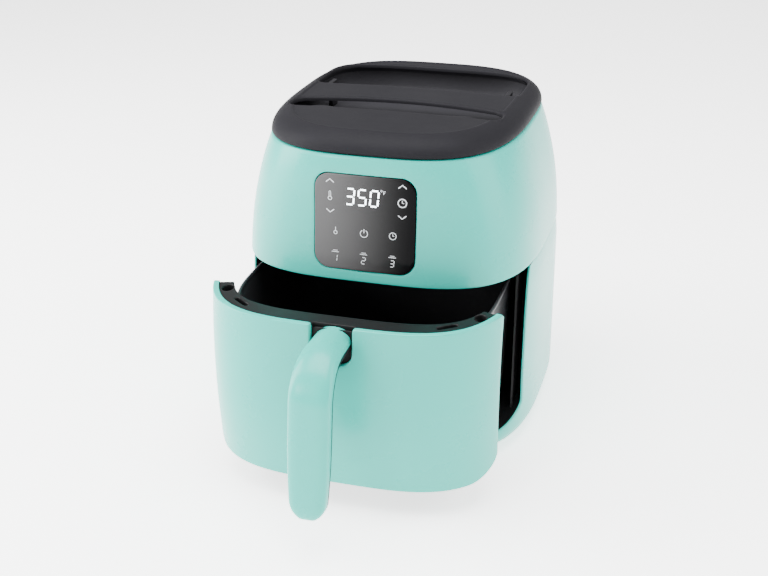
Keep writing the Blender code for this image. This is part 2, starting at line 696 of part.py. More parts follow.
def handle_path():
    """Centre line of the handle in the y-z plane: points with their outward normals."""
    bend = 0.0265
    arm_z = PANEL_TOP - 0.0120
    elbow_y = CENTRE_Y - 0.1647
    slant = math.radians(7)
    points = [(BRACKET_FRONT - GAP, arm_z), (CENTRE_Y - 0.1520, arm_z), (elbow_y, arm_z)]
    normals = [(0.0, 1.0)] * 3
    for i in range(1, 7):
        angle = (math.pi / 2 - slant) * i / 6
        points.append((elbow_y - bend * math.sin(angle), arm_z - bend + bend * math.cos(angle)))
        normals.append((-math.sin(angle), math.cos(angle)))
    last = points[-1]
    for length in (0.021, 0.042, 0.059, 0.070, 0.0760, 0.0790):
        points.append((last[0] - math.sin(slant) * length, last[1] - math.cos(slant) * length))
        normals.append(normals[-1])
    return points, normals


def handle_half(name, outer, look):
    """One half of the handle, swept along its path; outer=True is the front half."""
    points, normals = handle_path()
    narrowing = (0.42, 0.72, 0.90, 0.97)
    arm_share = (0.88, 0.88, 0.90, 0.94, 0.98)
    thinning = (0.55, 0.80, 0.95, 1.0)
    side = 1 if outer else -1
    rings = []
    for k, (place, normal) in enumerate(zip(points, normals)):
        tail = min(len(points) - 1 - k, 3)
        width = HANDLE_HALF * (narrowing[tail] if k > len(points) - 5 else 1.0)
        width *= arm_share[k] if k < len(arm_share) else 1.0
        rise = HANDLE_RISE * thinning[tail]
        ring = []
        for i in range(11):
            angle = math.pi * i / 10
            across = width * signed_power(math.cos(angle), 0.8)
            out = rise * math.sin(angle) ** 0.7 if 0 < i < 10 else 0.0
            shift = side * (out + GAP / 2)
            ring.append((across, place[0] + normal[0] * shift, place[1] + normal[1] * shift))
        rings.append(ring)
    verts, faces = loft(rings)
    return make_object(name, verts, faces, look)


def handle_bracket():
    """Dark block behind the notch that carries the handle."""
    low = PANEL_TOP - NOTCH_DEPTH + 0.0006
    return box("handle_bracket", (-0.0120, BRACKET_FRONT, low), (0.0120, BRACKET_BACK, PANEL_TOP - 0.0020),
               finish(BLACK, 0.5))


def handle_screws():
    for index, x in enumerate((-0.006, 0.006), 1):
        rings = []
        for y in (BRACKET_BACK + GAP, BRACKET_BACK + 0.0028):
            ring = []
            for i in range(10):
                angle = 2 * math.pi * i / 10
                ring.append((x + 0.0024 * math.cos(angle), y, PANEL_TOP - 0.0150 + 0.0024 * math.sin(angle)))
            rings.append(ring)
        verts, faces = loft(rings)
        make_object(f"handle_screw_{index}", verts, faces, finish(STEEL, 0.35, 1.0))


def move_out(names):
    """Puts the drawer's pieces at their rest position."""
    for name in names:
        bpy.data.objects[name].location.y -= DRAWER_OUT


def build():
    clear_scene()
    base_shell()
    upper_shell()
    control_lens()
    display_board()
    digit_module()
    top_cover()
    recess_tray()
    chamber_deck()
    cavity_liner()
    base_plate()
    feet()
    base_screws()
    rear_grille()
    cord_inlet()
    heater_dish()
    heating_coil()
    motor_parts()
    heater_guard()
    electronics()
    drawer_switch()
    floor_runners()
    before = set(bpy.data.objects.keys())
    drawer_front()
    drawer_backing()
    drawer_frame()
    bucket()
    crisper_tray()
    tray_feet()
    handle_half("handle_shell", True, finish(AQUA, 0.35))
    handle_half("handle_back", False, finish(SLATE, 0.5))
    handle_bracket()
    handle_screws()
    move_out(set(bpy.data.objects.keys()) - before)


build()
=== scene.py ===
"""Looks of a basket fryer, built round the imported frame.

Metres, +Z up, the drawer opens towards -Y. Drawer pieces are shaped as if shut and then moved out.
"""
import json
import math

import bmesh
import bpy
import numpy as np
from mathutils import Matrix, Vector


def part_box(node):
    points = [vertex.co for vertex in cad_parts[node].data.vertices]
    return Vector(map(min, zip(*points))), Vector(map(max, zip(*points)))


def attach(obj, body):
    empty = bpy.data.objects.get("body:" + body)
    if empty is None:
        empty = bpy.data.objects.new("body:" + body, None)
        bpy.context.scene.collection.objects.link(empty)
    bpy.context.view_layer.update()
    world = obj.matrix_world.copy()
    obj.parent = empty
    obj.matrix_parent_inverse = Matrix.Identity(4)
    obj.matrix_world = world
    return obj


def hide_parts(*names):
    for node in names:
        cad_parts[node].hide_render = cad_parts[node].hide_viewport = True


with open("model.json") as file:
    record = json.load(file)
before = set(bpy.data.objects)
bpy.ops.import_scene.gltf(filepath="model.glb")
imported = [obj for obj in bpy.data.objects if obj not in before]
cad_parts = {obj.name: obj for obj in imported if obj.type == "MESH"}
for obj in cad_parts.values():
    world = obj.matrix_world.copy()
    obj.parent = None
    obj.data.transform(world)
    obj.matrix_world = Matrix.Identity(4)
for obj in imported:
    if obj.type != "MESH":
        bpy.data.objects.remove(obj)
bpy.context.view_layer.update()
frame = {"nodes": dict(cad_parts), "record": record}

# ---------------------------------------------------------------- dimensions shared with the frame
GAP = 0.0004
CENTRE_Y = 0.0934
WIDEST_Y = -0.0077
FOOT_HEIGHT = 0.0036
BASE_ROUND = 0.014
BELT_Z = 0.1442
SEAM_Z = 0.2337
DECK_Z = 0.2484
DRAWER_OUT = 0.0722
OPENING_HALF, OPENING_BOTTOM, OPENING_CORNER = 0.1052, 0.0208, 0.016
PANEL_HALF, PANEL_TOP, PANEL_BOTTOM = 0.1043, 0.1434, 0.0222
NOTCH_HALF, NOTCH_DEPTH, NOTCH_CORNER = 0.0144, 0.0265, 0.0090
LENS_HALF, LENS_BOTTOM, LENS_TOP, LENS_CORNER = 0.0359, 0.1529, 0.2207, 0.0110
LENS_PROUD, GRILLE_PROUD, BACKING_INSET = 0.0006, 0.0030, 0.0052
BUCKET_HALF, BUCKET_FLOOR_Z, BUCKET_RIM_Z = 0.0925, 0.0340, 0.1335
BUCKET_FRONT, BUCKET_REAR, BUCKET_MIDDLE = 0.1280, 0.0500, -0.0360
TRAY_Z, TRAY_INSET = 0.0490, 0.0092
HANDLE_HALF, HANDLE_RISE = 0.0142, 0.0072
BRACKET_FRONT, BRACKET_BACK = CENTRE_Y - 0.1416, CENTRE_Y - 0.1322
SLOT_HALF, BAR_FRONT, BAR_BACK = 0.0780, -0.0455, -0.0075
BAR_Z = DECK_Z - 0.0007
AROUND = 384          # points round a housing outline
INNER = np.array((0.0, CENTRE_Y - 0.02, 0.10))   # a point inside the housing, for telling inward from outward

# height, half width, front depth, rear depth, front power, rear power
STATIONS = np.array((
    (0.0036, 0.1116, 0.1420, 0.0840, 3.45, 3.1),
    (0.0755, 0.1110, 0.1524, 0.0880, 3.55, 3.1),
    (0.1442, 0.1097, 0.1496, 0.0893, 3.60, 3.1),
    (0.1889, 0.1050, 0.1462, 0.0886, 3.50, 3.1),
    (0.2337, 0.0922, 0.1440, 0.0860, 3.20, 3.0),
    (0.2484, 0.0822, 0.1350, 0.0760, 3.00, 2.9),
))


# ---------------------------------------------------------------- shape of the housing
def station(z):
    """Section values at height z: a smooth cubic through STATIONS."""
    rows = STATIONS
    z = min(max(z, rows[0][0]), rows[-1][0])
    k = max(i for i in range(len(rows) - 1) if rows[i][0] <= z)
    before, low = rows[max(k - 1, 0)], rows[k]
    high, after = rows[k + 1], rows[min(k + 2, len(rows) - 1)]
    span = high[0] - low[0]
    t = (z - low[0]) / span
    leave = (high - before) / (high[0] - before[0]) * span
    arrive = (after - low) / (after[0] - low[0]) * span
    value = (2 * t ** 3 - 3 * t ** 2 + 1) * low + (t ** 3 - 2 * t ** 2 + t) * leave
    value = value + (3 * t ** 2 - 2 * t ** 3) * high + (t ** 3 - t ** 2) * arrive
    return value[1:]


def quadrant(across, along, power, count):
    """Evenly spaced points of a quarter superellipse, from the x axis to the y axis."""
    t = np.linspace(0, np.pi / 2, 241)
    x = across * np.abs(np.cos(t)) ** (2 / power)
    y = along * np.sin(t) ** (2 / power)
    run = np.concatenate([[0], np.cumsum(np.hypot(np.diff(x), np.diff(y)))])
    even = np.linspace(0, run[-1], count + 1)
    return np.interp(even, run, x), np.interp(even, run, y)


def plan_ring(half, front, rear, middle, front_power, rear_power, z, count=AROUND):
    """Closed outline with even spacing; front and rear are depths from the plan axis."""
    rx, ry = quadrant(half, rear - middle, rear_power, count // 4)
    fx, fy = quadrant(half, front + middle, front_power, count // 4)
    x = np.concatenate([rx[:-1], -rx[:0:-1], -fx[:-1], fx[:0:-1]])
    y = np.concatenate([ry[:-1], ry[:0:-1], -fy[:-1], -fy[:0:-1]])
    return np.stack([x, CENTRE_Y + middle + y, np.full_like(x, z)], axis=1)


def housing_ring(z, inset=0.0, height=None):
    """Outline of the housing at z, drawn in by inset and placed at height."""
    half, front, rear, front_power, rear_power = station(z)
    place = z if height is None else height
    return plan_ring(half - inset, front - inset, rear - inset, WIDEST_Y, front_power, rear_power, place)


def front_y(x, z, inset=0.0):
    """y of the housing's front surface; a negative inset stands proud of it."""
    half, front, rear, power, rear_power = station(z)
    share = min(abs(x) / (half - inset), 0.9999)
    return CENTRE_Y + WIDEST_Y - (front - inset + WIDEST_Y) * (1 - share ** power) ** (1 / power)


def rear_y(x, z, inset=0.0):
    """y of the housing's rear surface."""
    half, front, rear, front_power, power = station(z)
    share = min(abs(x) / (half - inset), 0.9999)
    return CENTRE_Y + WIDEST_Y + (rear - inset - WIDEST_Y) * (1 - share ** power) ** (1 / power)


def on_front(inset=0.0):
    """Function that puts (x, z) on the front surface."""
    return lambda x, z: (x, front_y(x, z, inset), z)


def on_rear(inset=0.0):
    """Function that puts (x, z) on the rear surface."""
    return lambda x, z: (x, rear_y(x, z, inset), z)


def grid(place, xs, zs):
    """Rows of points for each z, set out by a place function."""
    return [[place(x, z) for x in xs] for z in zs]


def eased(half, count, ease):
    """x values from -half to half, closer together towards the ends."""
    share = np.linspace(-1, 1, count)
    return half * np.sin(share * math.pi / 2) * ease + half * share * (1 - ease)


def bucket_front(x, grow=0.0):
    """y of the bucket's front outline."""
    share = np.minimum(np.abs(x) / (BUCKET_HALF + grow), 0.9999)
    reach = BUCKET_FRONT + grow + BUCKET_MIDDLE
    return CENTRE_Y + BUCKET_MIDDLE - reach * (1 - share ** 3.8) ** (1 / 3.8)


# ---------------------------------------------------------------- distances (positive where material is)
def rounded_box(x, y, half_x, low, high, radius):
    """Signed distance to a rounded rectangle, negative inside."""
    qx = np.abs(x) - (half_x - radius)
    qy = np.abs(y - (low + high) / 2) - ((high - low) / 2 - radius)
    outside = np.hypot(np.maximum(qx, 0), np.maximum(qy, 0))
    return outside + np.minimum(np.maximum(qx, qy), 0) - radius


def soft_min(a, b, width):
    """Smaller of two values, with a rounded corner where they meet."""
    share = np.clip(0.5 + 0.5 * (b - a) / width, 0, 1)
    return b + (a - b) * share - width * share * (1 - share)


def slot_edges(x):
    """Front and back edges of the finger slot, both curved, with a straight lip in the middle."""
    share = np.minimum(np.abs(x) / SLOT_HALF, 1.15) ** 2
    end = np.clip((np.abs(x) - 0.050) / 0.012, 0, 1)
    lip = 0.0046 * (1 - end * end * (3 - 2 * end))
    return CENTRE_Y - 0.0745 - 0.0060 * share + lip, CENTRE_Y + BAR_FRONT - 0.0135 * share


def slot_distance(x, y):
    """Distance to the finger slot."""
    front, back = slot_edges(x)
    width = (back - front) / 2
    return rounded_box(x, y - (front + back) / 2, SLOT_HALF, -width, width, 0.0075)


def pocket_distance(x, y):
    """Distance to the pocket behind the carry bar."""
    half, rear, turn = 0.0790, 0.0590, 0.005
    edge = CENTRE_Y + BAR_BACK - 0.0055 * (np.abs(x) / half) ** 2
    reach = np.maximum(y - CENTRE_Y - turn, 0) / (rear - turn)
    bowl = ((np.abs(x) / half) ** 4.2 + reach ** 4.2) ** (1 / 4.2) * 0.066 - 0.066
    return -soft_min(-bowl, y - edge, 0.012)


def deck_distance(x, y):
    """Distance to the nearer of the deck's two openings."""
    return np.minimum(slot_distance(x, y), pocket_distance(x, y))


def deck_height(x, y):
    """The deck: flat, with a scooped crescent in front of the slot."""
    x, y = np.asarray(x, float), np.asarray(y, float)
    front, back = slot_edges(x)
    ahead = np.clip(1 - (front + 0.0005 - y) / 0.0085, 0, 1)
    ahead = np.where(y > front + 0.006, 0, ahead)
    reach = np.clip(1 - (np.abs(x) / 0.056) ** 4, 0, 1)
    scoop = 0.0030 * ahead ** 1.4 * reach
    return BAR_Z - scoop


def panel_distance(x, z):
    """Front panel: round lower corners, nearly square upper ones, and the notch for the handle."""
    box_low = rounded_box(x, z, PANEL_HALF, PANEL_BOTTOM, PANEL_TOP + 0.04, OPENING_CORNER)
    box_high = rounded_box(x, z, PANEL_HALF, PANEL_BOTTOM - 0.04, PANEL_TOP, 0.0012)
    notch = rounded_box(x, z, NOTCH_HALF, PANEL_TOP - NOTCH_DEPTH, PANEL_TOP + 0.04, NOTCH_CORNER)
    return soft_min(-np.maximum(box_low, box_high), notch, 0.0008)


# ---------------------------------------------------------------- mesh building
def sheet(rows, closed, distance=None, place=None, axes=(0, 2), front_only=False, roll=0.001, skirt=0.0025):
    """Grid of points as mesh data. Cells where distance is negative go, and the new edge is rolled in."""
    rows = np.asarray(rows, float)
    count_rows, count = rows.shape[:2]
    points = rows.reshape(-1, 3).copy()
    if distance is None:
        whole = np.ones((count_rows - 1, count if closed else count - 1), bool)
        return [tuple(p) for p in points], grid_faces(whole, count)
    reach = distance(rows[..., axes[0]], rows[..., axes[1]]) - roll
    if front_only:
        reach = np.where(rows[..., 1] < CENTRE_Y - 0.03, reach, 1.0)
    keep = kept_cells(reach, closed)
    faces = grid_faces(keep, count)
    seam = boundary_edges(faces, cut_points(keep, reach, closed))
    if not seam:
        return [tuple(p) for p in points], faces
    ids = sorted({v for edge in seam for v in edge})
    frames = {}
    for v, a, b, slope in zip(ids, *settled(distance, points[ids][:, axes], seam, ids, roll)):
        frames[v] = edge_frame(place, a, b, slope)
        points[v] = frames[v][0]
    return rolled_edge([tuple(p) for p in points], faces, seam, frames, roll, skirt)


def kept_cells(reach, closed):
    """Cells of a grid whose four corners add up to more than nothing."""
    ahead = np.roll(reach, -1, axis=1) if closed else reach[:, 1:]
    here = reach if closed else reach[:, :-1]
    return (here[:-1] + here[1:] + ahead[:-1] + ahead[1:]) > 0


def cut_points(keep, reach, closed):
    """Points near the cut that some kept cells use, but not four of them."""
    count_rows, count = reach.shape
    used = np.zeros((count_rows, count), int)
    for down in (0, 1):
        for along in (0, 1):
            rows_used = slice(down, down + count_rows - 1)
            if closed:
                used[rows_used, :] += np.roll(keep.astype(int), along, axis=1)
            else:
                used[rows_used, along:along + count - 1] += keep
    return ((used > 0) & (used < 4) & (np.abs(reach) < 0.004)).reshape(-1)


def grid_faces(keep, count):
    """Quads for the kept cells of a grid with count points in each row."""
    faces = []
    for i, row in enumerate(keep):
        for j in np.flatnonzero(row):
            k = (j + 1) % count
            corners = (i * count + j, i * count + k, (i + 1) * count + k, (i + 1) * count + j)
            faces.append(tuple(int(corner) for corner in corners))
    return faces


def rolled_edge(verts, faces, seam, frames, roll, skirt):
    """Adds a quarter round and a short wall along the seam."""
    angles = (math.pi / 6, math.pi / 3, math.pi / 2)
    profile = [(roll * math.sin(t), roll * (1 - math.cos(t))) for t in angles]
    profile.append((roll, roll + skirt))
    rings = {}
    for v, (here, out, inward) in frames.items():
        rings[v] = [v]
        for side, depth in profile:
            rings[v].append(len(verts))
            verts.append(tuple(here + out * side + inward * depth))
    for a, b in seam:
        for k in range(len(profile)):
            faces.append((rings[b][k], rings[a][k], rings[a][k + 1], rings[b][k + 1]))
    return verts, faces


def boundary_edges(faces, cut):
    """Directed edges used by one face only, between cut points."""
    seen = {}
    for face in faces:
        for a, b in zip(face, face[1:] + face[:1]):
            if cut[a] and cut[b]:
                seen[(a, b)] = True
    return [edge for edge in seen if (edge[1], edge[0]) not in seen]


def settled(distance, spots, seam, ids, offset):
    """Moves edge points onto the line where distance equals offset, and spaces them evenly."""
    index = {v: k for k, v in enumerate(ids)}
    ahead, behind = np.arange(len(ids)), np.arange(len(ids))
    for p, q in seam:
        ahead[index[p]] = index[q]
        behind[index[q]] = index[p]
    loose = (ahead != np.arange(len(ids))) & (behind != np.arange(len(ids)))
    a, b = spots[:, 0], spots[:, 1]
    for turn in range(16):
        if turn > 3:
            a = np.where(loose, (a[ahead] + a[behind]) / 4 + a / 2, a)
            b = np.where(loose, (b[ahead] + b[behind]) / 4 + b / 2, b)
        a, b, da, db = step_to_edge(distance, a, b, offset)
    for _ in range(3):
        a, b, da, db = step_to_edge(distance, a, b, offset)
    return a, b, np.stack([da, db], 1)


def step_to_edge(distance, a, b, offset):
    """One Newton step towards the line, with the distance's slopes."""
    h = 1e-5
    value = distance(a, b) - offset
    da = (distance(a + h, b) - distance(a - h, b)) / (2 * h)
    db = (distance(a, b + h) - distance(a, b - h)) / (2 * h)
    size = np.maximum(da * da + db * db, 0.05)
    return a - value * da / size, b - value * db / size, da, db


def edge_frame(place, a, b, slope):
    """Point on the surface with its outward direction across the edge and its inward normal."""
    h = 1e-5
    here = np.array(place(a, b))
    ta = (np.array(place(a + h, b)) - here) / h
    tb = (np.array(place(a, b + h)) - here) / h
    metric = np.array([[ta @ ta, ta @ tb], [ta @ tb, tb @ tb]])
    weight = np.linalg.solve(metric, slope)
    out = -(ta * weight[0] + tb * weight[1])
    inward = np.cross(ta, tb)
    inward = inward * np.sign(inward @ (INNER - here))
    return here, out / np.linalg.norm(out), inward / np.linalg.norm(inward)


def loft(rings, closed=False):
    """Skin over rings of equal count: closed back on itself, or capped at both ends."""
    rings = [np.asarray(r, float) for r in rings]
    count = len(rings[0])
    verts = [tuple(p) for ring in rings for p in ring]
    faces = []
    for a in range(len(rings) - (0 if closed else 1)):
        b = (a + 1) % len(rings)
        for i in range(count):
            j = (i + 1) % count
            faces.append((a * count + i, a * count + j, b * count + j, b * count + i))
    if not closed:
        faces.append(tuple(range(count - 1, -1, -1)))
        faces.append(tuple((len(rings) - 1) * count + i for i in range(count)))
    return verts, faces


def piece(name, data, slot, body, replaced=(), out=0.0, angle=38, finish=None):
    """A finished piece: mesh, material, the body it rides on and the CAD nodes it stands for."""
    verts, faces = data
    mesh = bpy.data.meshes.new(name)
    mesh.from_pydata([(x, y - out, z) for x, y, z in verts], [], faces)
    shape = bmesh.new()
    shape.from_mesh(mesh)
    loose = [v for v in shape.verts if not v.link_faces]
    bmesh.ops.delete(shape, geom=loose, context="VERTS")
    bmesh.ops.recalc_face_normals(shape, faces=shape.faces)
    shape.to_mesh(mesh)
    shape.free()
    mesh.shade_smooth()
    mesh.set_sharp_from_angle(angle=math.radians(angle))
    item = bpy.data.objects.new(name, mesh)
    bpy.context.scene.collection.objects.link(item)
    mesh.materials.append(finish or FINISHES[slot])
    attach(item, body)
    if replaced:
        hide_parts(*replaced)
    return item


def bevelled(item, width):
    """Rounds a piece's sharp edges."""
    modifier = item.modifiers.new("bevel", "BEVEL")
    modifier.width = width
    modifier.segments = 3
    modifier.limit_method = "ANGLE"
    modifier.angle_limit = math.radians(35)
    modifier.harden_normals = True


def box_data(low, high):
    """Block between two corners, to be bevelled."""
    outline = ((low[0], low[1]), (high[0], low[1]), (high[0], high[1]), (low[0], high[1]))
    return loft([[(x, y, z) for x, y in outline] for z in (low[2], high[2])])


def turned_data(profile, centre, count=48):
    """Turned solid about a vertical axis; profile is (radius, z) pairs."""
    t = np.linspace(0, 2 * np.pi, count, endpoint=False)
    rings = []
    for radius, z in profile:
        x, y = centre[0] + radius * np.cos(t), centre[1] + radius * np.sin(t)
        rings.append(np.stack([x, y, np.full(count, z)], 1))
    return loft(rings)


# ---------------------------------------------------------------- materials
def add_node(tree, kind, **values):
    """New shader node with its settings and input values."""
    made = tree.nodes.new(kind)
    for key, value in values.items():
        if hasattr(made, key):
            setattr(made, key, value)
        else:
            made.inputs[key.replace("_", " ")].default_value = value
    return made


def ranged(tree, source, inward, outward, **values):
    """Output of source mapped from one range to another."""
    made = add_node(tree, "ShaderNodeMapRange", **values)
    made.inputs["From Min"].default_value, made.inputs["From Max"].default_value = inward
    made.inputs["To Min"].default_value, made.inputs["To Max"].default_value = outward
    tree.links.new(source, made.inputs["Value"])
    return made.outputs["Result"]


def noise(tree, vector, scale, detail, roughness=0.5):
    """Noise texture's strength."""
    made = add_node(tree, "ShaderNodeTexNoise", Scale=scale, Detail=detail, Roughness=roughness)
    tree.links.new(vector, made.inputs["Vector"])
    return made.outputs["Fac"]


def over(tree, below, colour, share):
    """Colour laid over the one below by a share socket."""
    made = add_node(tree, "ShaderNodeMix", data_type="RGBA")
    made.inputs["B"].default_value = (*colour, 1)
    if isinstance(below, tuple):
        made.inputs["A"].default_value = (*below, 1)
    else:
        tree.links.new(below, made.inputs["A"])
    tree.links.new(share, made.inputs["Factor"])
    return made.outputs["Result"]


def surface_colour(tree, place, vector, colour, shade, specks, wear, painted_sheen):
    """Clouded colour with, where asked for, a painted sheen across (a painted reflection, lighter towards one
    side), specks and pale worn edges.
    """
    dark = tuple(c * (1 - shade) for c in colour)
    light = tuple(min(c * (1 + shade), 1) for c in colour)
    result = over(tree, dark, light, noise(tree, vector, 38.0, 4.0))
    # painted sheen: the colour turns lighter towards one end of object X, a painted reflection rather than
    # the surface's own colour
    if painted_sheen:
        start, end, tint = painted_sheen
        across = add_node(tree, "ShaderNodeSeparateXYZ")
        tree.links.new(place, across.inputs["Vector"])
        share = ranged(tree, across.outputs["X"], (end, start), (0.0, 1.0), interpolation_type="SMOOTHSTEP")
        result = over(tree, result, tint, share)
    if specks:
        scale, tint, strength = specks
        spot = add_node(tree, "ShaderNodeTexVoronoi", Scale=scale)
        tree.links.new(vector, spot.inputs["Vector"])
        share = ranged(tree, spot.outputs["Distance"], (0.10, 0.18), (strength, 0.0))
        result = over(tree, result, tint, share)
    if wear:
        shape = add_node(tree, "ShaderNodeNewGeometry")
        share = ranged(tree, shape.outputs["Pointiness"], (0.53, 0.62), (0.0, wear * 4))
        result = over(tree, result, tuple(c * 0.6 + 0.38 for c in colour), share)
    return result


def material(name, colour, roughness, grain=900.0, depth=0.02, metallic=0.0, shade=0.06, spread=0.06,
             stretch=(1, 1, 1), specks=None, specular=0.5, wear=0.05, glow=None, painted_sheen=None):
    """Procedural finish. Grain is the bump's scale, depth its height in mm, spread the roughness's range."""
    result = bpy.data.materials.new(name)
    result.use_nodes = True
    tree = result.node_tree
    shader = tree.nodes["Principled BSDF"]
    shader.inputs["Metallic"].default_value = metallic
    shader.inputs["Specular IOR Level"].default_value = specular
    if glow:
        shader.inputs["Emission Color"].default_value = (*colour, 1)
        shader.inputs["Emission Strength"].default_value = glow
    place = add_node(tree, "ShaderNodeTexCoord").outputs["Object"]
    mapping = add_node(tree, "ShaderNodeMapping", Scale=stretch)
    tree.links.new(place, mapping.inputs["Vector"])
    vector = mapping.outputs["Vector"]
    shown = surface_colour(tree, place, vector, colour, shade, specks, wear, painted_sheen)
    tree.links.new(shown, shader.inputs["Base Color"])
    limits = (max(roughness - spread, 0.02), roughness + spread)
    patches = ranged(tree, noise(tree, vector, 14.0, 6.0, 0.6), (0.3, 0.7), limits)
    tree.links.new(patches, shader.inputs["Roughness"])
    bump = add_node(tree, "ShaderNodeBump", Strength=1.0, Distance=depth * 0.001)
    tree.links.new(noise(tree, vector, grain, 3.0, 0.55), bump.inputs["Height"])
    tree.links.new(bump.outputs["Normal"], shader.inputs["Normal"])
    return result


FINISHES = {
    "aqua_plastic": material("aqua_plastic", (0.010, 0.330, 0.272), 0.27, grain=700, depth=0.006, shade=0.012,
                             spread=0.04, wear=0.012, specular=0.27),
    "slate_plastic": material("slate_plastic", (0.0088, 0.0085, 0.0102), 0.56, grain=2200, depth=0.045,
                              shade=0.12, spread=0.05, wear=0.004, specular=0.05),
    "black_plastic": material("black_plastic", (0.0050, 0.0052, 0.0055), 0.46, grain=1800, depth=0.04,
                              shade=0.15, specular=0.12, wear=0.004),
    "nonstick": material("nonstick", (0.013, 0.013, 0.0145), 0.36, grain=1500, depth=0.05, shade=0.2,
                         specks=(900.0, (0.05, 0.05, 0.055), 0.5), wear=0.01, specular=0.28),
    "steel": material("steel", (0.60, 0.60, 0.58), 0.32, grain=260, metallic=1.0, shade=0.08,
                      spread=0.10, stretch=(1, 14, 1)),
    "heater_sheath": material("heater_sheath", (0.075, 0.068, 0.062), 0.5, grain=600, depth=0.05,
                              metallic=0.6, shade=0.3, spread=0.12),
    "circuit_board": material("circuit_board", (0.025, 0.15, 0.065), 0.40, grain=400, depth=0.04, shade=0.25,
                              specks=(260.0, (0.62, 0.58, 0.36), 0.9)),
    "light_module": material("light_module", (0.62, 0.62, 0.64), 0.45, grain=1200, depth=0.03),
    "transformer_wrap": material("transformer_wrap", (0.70, 0.55, 0.08), 0.42, grain=90, depth=0.12,
                                 stretch=(1, 1, 9)),
    "capacitor_sleeve": material("capacitor_sleeve", (0.07, 0.09, 0.26), 0.30),
    # painted reflection: the lens is painted lighter grey at its left side, fading to black at the right
    "lens_black": material("lens_black", (0.0022, 0.0022, 0.0025), 0.07, grain=300, depth=0.0006, spread=0.02,
                           wear=0.0, shade=0.1, specular=0.03,
                           painted_sheen=(-LENS_HALF, LENS_HALF, (0.078, 0.077, 0.078))),
    "rubber": material("rubber", (0.010, 0.010, 0.010), 0.80, grain=1400, depth=0.08, shade=0.2),
}
TUB = material("slate_tub", (0.0150, 0.0146, 0.0170), 0.62, grain=1400, depth=0.06, shade=0.15, wear=0.0,
               specular=0.08)
LIT = material("lit_mark", (0.86, 0.95, 1.0), 0.4, wear=0.0, glow=7.0)
PRINT = material("printed_mark", (0.42, 0.44, 0.46), 0.45, wear=0.0, glow=0.6)


# ---------------------------------------------------------------- housing
def base_shell():
    """Lower shell with a rounded foot, a small step at the belt and a U-shaped drawer opening."""
    bottom, top = FOOT_HEIGHT, BELT_Z - GAP
    edge = 0.0009
    lip = ((0.0034, 0.0050), (0.0034, 0.0004), (0.0028, 0.0), (edge + 0.0008, 0.0), (edge + 0.0002, 0.0003),
           (edge, 0.0010))
    rows = [housing_ring(top, inset, top - drop) for inset, drop in lip]
    for z in np.linspace(top - 0.0022, bottom + BASE_ROUND, 58):
        rows.append(housing_ring(z, edge * max(0.0, 1 - (top - z) / 0.012)))
    for angle in np.linspace(0, math.pi / 2, 10)[1:]:
        inset = BASE_ROUND * (1 - math.cos(angle))
        rows.append(housing_ring(bottom + BASE_ROUND, inset, bottom + BASE_ROUND * (1 - math.sin(angle))))
    for inset, z in ((0.0045, bottom), (0.0058, bottom + 0.0006), (0.0060, bottom + 0.0024)):
        rows.append(housing_ring(bottom + BASE_ROUND, BASE_ROUND + inset, z))

    def opening(x, z):
        return rounded_box(x, z, OPENING_HALF, OPENING_BOTTOM, BELT_Z + 0.05, OPENING_CORNER)

    data = sheet(rows, True, opening, on_front(), front_only=True, roll=0.0010, skirt=0.0004)
    piece("base_shell_skin", data, "aqua_plastic", "housing", ["base_shell"])


def opening_lining():
    """Dark wall that runs back from the opening's edge to the liner."""
    half, low, turn = OPENING_HALF + 0.0006, OPENING_BOTTOM - 0.0006, OPENING_CORNER
    side = [(half, z) for z in np.linspace(BELT_Z - 0.001, low + turn, 24)]
    for angle in np.linspace(0, math.pi / 2, 9)[1:]:
        side.append((half - turn * (1 - math.cos(angle)), low + turn * (1 - math.sin(angle))))
    side += [(x, low) for x in np.linspace(half - turn, 0, 14)[1:]]
    outline = side + [(-x, z) for x, z in side[-2::-1]]
    rows = []
    for depth in np.linspace(0, 1, 6):
        row = []
        for x, z in outline:
            start = front_y(x, z, -0.0001) + 0.0014
            end = max(CENTRE_Y - 0.0880, start + 0.012)
            lift = 0.003 * depth if z < 0.05 else 0.0
            row.append((x * (1 - 0.05 * depth), start + (end - start) * depth, z + lift))
        rows.append(row)
    piece("opening_lining", sheet(rows, False), "black_plastic", "housing")


def upper_shell():
    """Upper shell, leaning in, with a rounded lower lip and a window for the lens."""
    lip = ((0.0030, 0.0080), (0.0028, 0.0010), (0.0024, 0.0002), (0.0016, 0.0), (0.0008, 0.0001),
           (0.0002, 0.0006))
    rows = [housing_ring(BELT_Z, inset, BELT_Z + rise) for inset, rise in lip]
    for z in np.linspace(BELT_Z + 0.0014, SEAM_Z - 0.0010, 44):
        rows.append(housing_ring(z))
    for inset, drop in ((0.0003, 0.0004), (0.0010, 0.0), (0.0024, 0.0), (0.0028, 0.0050)):
        rows.append(housing_ring(SEAM_Z, inset, SEAM_Z - drop))
    room = 0.0005

    def window(x, z):
        return rounded_box(x, z, LENS_HALF + room, LENS_BOTTOM - room, LENS_TOP + room, LENS_CORNER)

    data = sheet(rows, True, window, on_front(), front_only=True, roll=0.0006, skirt=0.0030)
    piece("upper_shell_skin", data, "aqua_plastic", "housing", ["upper_shell"])


def control_lens():
    """Glossy touch lens that stands just proud of the shell."""
    spare = 0.001
    xs = np.linspace(-LENS_HALF - spare, LENS_HALF + spare, 60)
    rows = grid(on_front(-LENS_PROUD), xs, np.linspace(LENS_BOTTOM - spare, LENS_TOP + spare, 56))

    def outline(x, z):
        return -rounded_box(x, z, LENS_HALF, LENS_BOTTOM, LENS_TOP, LENS_CORNER)

    data = sheet(rows, False, outline, on_front(-LENS_PROUD), roll=0.0006, skirt=0.0020)
    piece("control_lens_skin", data, "lens_black", "housing", ["control_lens"])


